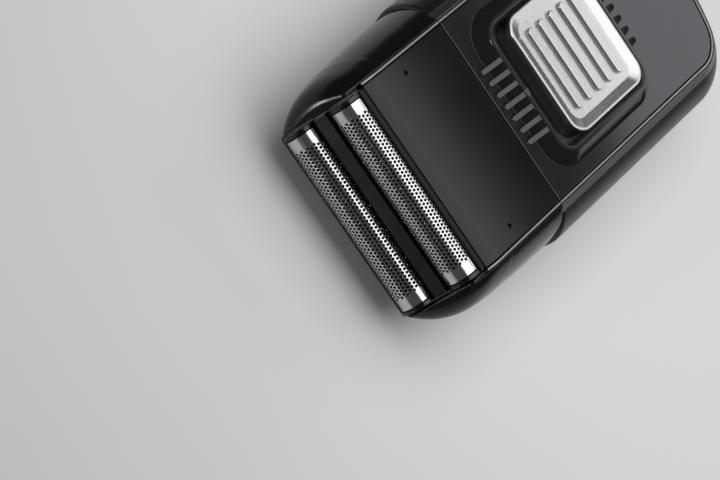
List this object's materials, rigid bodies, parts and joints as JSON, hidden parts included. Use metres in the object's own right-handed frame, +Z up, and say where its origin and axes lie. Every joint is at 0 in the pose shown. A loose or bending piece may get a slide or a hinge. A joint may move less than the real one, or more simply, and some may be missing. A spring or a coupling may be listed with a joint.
{
  "type": "electric foil shaver",
  "caption": "Black compact foil shaver with a twin foil head, a satin grey front plate and a large ribbed metal thumb slide.",
  "frame": {"origin": "under the middle of the shaver, on the plane that its flat back rests on", "axes": "+X across, +Y from the foils towards the tail, +Z up out of the flat front"},
  "size_m": [0.068, 0.1304, 0.0323],
  "materials": {
    "satin_grey_metal": "satin gunmetal paint",
    "grey_plastic": "satin grey",
    "satin_black_plastic": "satin black",
    "gloss_black_plastic": "glossy black",
    "bright_trim": "bright plated",
    "brushed_aluminium": "brushed",
    "foil_steel": "polished, perforated",
    "steel": "plain steel",
    "soft_seal": "soft black",
    "board": "green board",
    "cell_wrap": "shrink sleeve",
    "clear_lens": "clear moulding",
    "bronze": "plain"
  },
  "bodies": {
    "case": {"rear_shell": "satin_black_plastic", "front_shell": "satin_black_plastic", "case_seal": "soft_seal", "case_screws": "steel", "face_plate": "satin_grey_metal", "body_trim": "bright_trim", "body_bezel": "grey_plastic", "slide_tray": "satin_black_plastic", "indicator_lens": "clear_lens", "switch_housing": "steel", "circuit_board": "board", "charge_socket": "steel", "battery_cell": "cell_wrap", "battery_tabs": "bronze", "motor_can": "steel", "motor_end_cap": "grey_plastic", "motor_bushing": "bronze", "shaft_seal": "soft_seal", "motor_screws": "steel", "drive_chassis": "satin_black_plastic", "chassis_screws": "steel", "guide_rods": "steel", "head_shell": "gloss_black_plastic", "head_panel": "satin_black_plastic", "head_trim_left": "bright_trim", "head_trim_right": "bright_trim"},
    "power_slide": {"slide_cap": "brushed_aluminium", "slide_carrier": "satin_black_plastic", "switch_lever": "satin_black_plastic"},
    "rotor": {"motor_shaft": "steel", "motor_armature": "bronze", "eccentric_cam": "grey_plastic"},
    "bridge": {"drive_bridge": "grey_plastic", "cutter_spring_front": "steel", "cutter_spring_rear": "steel"},
    "front_cutter": {"cutter_front": "steel"},
    "rear_cutter": {"cutter_rear": "steel"},
    "foil_cassette": {"cassette_frame": "satin_black_plastic", "divider_bar": "satin_black_plastic", "foil_carrier_front": "steel", "foil_carrier_rear": "steel", "foil_front": "foil_steel", "foil_rear": "foil_steel"}
  },
  "joints": [
    {"name": "power_slide_travel", "type": "slide", "parent": "case", "child": "power_slide", "axis": [0, -1, 0], "range_m": [0, 0.0035]},
    {"name": "motor_turn", "type": "hinge", "parent": "case", "child": "rotor", "pos_m": [0, -0.00682, 0.011], "axis": [0, 1, 0], "continuous": true},
    {"name": "bridge_stroke", "type": "slide", "parent": "case", "child": "bridge", "axis": [1, 0, 0], "range_m": [-0.0012, 0.0012]},
    {"name": "front_cutter_float", "type": "slide", "parent": "bridge", "child": "front_cutter", "axis": [0, 0.9063, -0.4226], "range_m": [0, 0.0012], "stiffness_N_per_m": 200, "springref_m": -0.004, "deforming": ["cutter_spring_front"]},
    {"name": "rear_cutter_float", "type": "slide", "parent": "bridge", "child": "rear_cutter", "axis": [0, 0.9063, -0.4226], "range_m": [0, 0.0012], "stiffness_N_per_m": 200, "springref_m": -0.004, "deforming": ["cutter_spring_rear"]},
    {"name": "cassette_lift", "type": "slide", "parent": "case", "child": "foil_cassette", "axis": [0, -0.9063, 0.4226], "range_m": [0, 0.015]}
  ]
}
